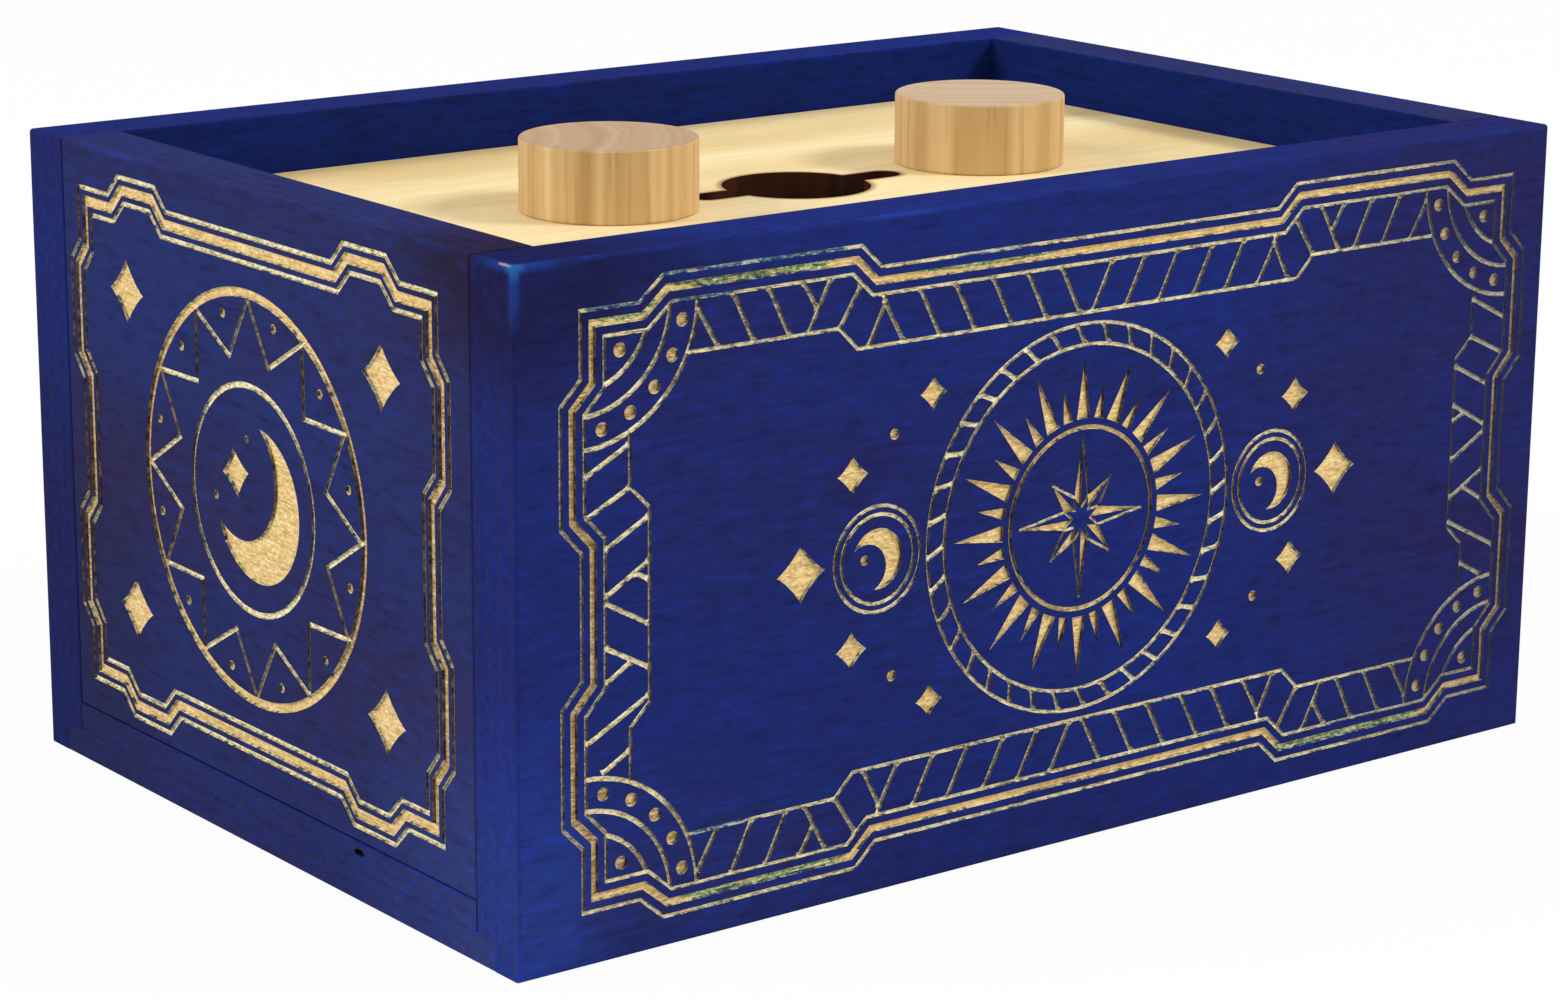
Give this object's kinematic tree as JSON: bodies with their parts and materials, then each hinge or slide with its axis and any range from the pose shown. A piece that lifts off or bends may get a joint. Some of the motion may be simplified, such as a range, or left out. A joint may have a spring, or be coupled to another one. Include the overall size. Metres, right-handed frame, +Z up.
{
  "type": "puzzle box",
  "caption": "Rectangular plywood puzzle box with a recessed lift-out top plate, knobs that drive hidden bolts, a slotted cut-out and gold-filled engraved walls.",
  "frame": {"origin": "centre of the underside", "axes": "+Z up, X along the long walls, front wall at -Y, left end panel at -X"},
  "size_m": [0.238, 0.162, 0.1224],
  "materials": {
    "stained_plywood": "blue stained plywood, satin",
    "gold_fill": "gold paint in the engraving",
    "plate_plywood": "bare pale plywood",
    "knob_hardwood": "bare turned hardwood",
    "case_plywood": "bare laser-cut plywood",
    "stripwood": "bare stripwood",
    "dowel_wood": "bare beech dowel",
    "washer_brass": "plain",
    "screw_steel": "zinc plated"
  },
  "bodies": {
    "case": {"front_wall": "stained_plywood", "back_wall": "stained_plywood", "left_end_panel": "stained_plywood", "right_end_panel": "stained_plywood", "base_board": "stained_plywood", "floor_board": "stained_plywood", "front_ledge": "stripwood", "back_ledge": "stripwood", "left_ledge": "stripwood", "right_ledge": "stripwood", "corner_dowels": "dowel_wood"},
    "lid": {"top_plate": "plate_plywood", "keeper_screws": "screw_steel", "left_bearing_block": "case_plywood", "left_outer_guide": "case_plywood", "left_inner_guide": "case_plywood", "left_far_rail": "case_plywood", "left_bolt_stop": "case_plywood", "left_keeper": "case_plywood", "right_bearing_block": "case_plywood", "right_outer_guide": "case_plywood", "right_inner_guide": "case_plywood", "right_far_rail": "case_plywood", "right_bolt_stop": "case_plywood", "right_keeper": "case_plywood"},
    "left_knob": {"left_knob": "knob_hardwood", "left_spindle": "dowel_wood", "left_pinion": "case_plywood", "left_spindle_washer": "washer_brass", "left_spindle_screw": "screw_steel"},
    "left_bolt": {"left_bolt": "case_plywood"},
    "right_knob": {"right_knob": "knob_hardwood", "right_spindle": "dowel_wood", "right_pinion": "case_plywood", "right_spindle_washer": "washer_brass", "right_spindle_screw": "screw_steel"},
    "right_bolt": {"right_bolt": "case_plywood"}
  },
  "joints": [
    {"name": "lid_lift", "type": "slide", "parent": "case", "child": "lid", "axis": [0, 0, 1], "range_m": [0, 0.06]},
    {"name": "left_knob_turn", "type": "hinge", "parent": "lid", "child": "left_knob", "pos_m": [-0.0434, 0, 0.1087], "axis": [0, 0, 1], "range_deg": [0, 45]},
    {"name": "left_bolt_slide", "type": "slide", "parent": "lid", "child": "left_bolt", "axis": [-1, 0, 0], "range_m": [0, 0.00825]},
    {"name": "right_knob_turn", "type": "hinge", "parent": "lid", "child": "right_knob", "pos_m": [0.0452, 0, 0.1087], "axis": [0, 0, 1], "range_deg": [0, 45]},
    {"name": "right_bolt_slide", "type": "slide", "parent": "lid", "child": "right_bolt", "axis": [1, 0, 0], "range_m": [0, 0.00825]}
  ],
  "couplings": [
    {"joint": "left_bolt_slide", "follows": "left_knob_turn", "m_per_rad": 0.0105},
    {"joint": "right_bolt_slide", "follows": "right_knob_turn", "m_per_rad": 0.0105}
  ]
}
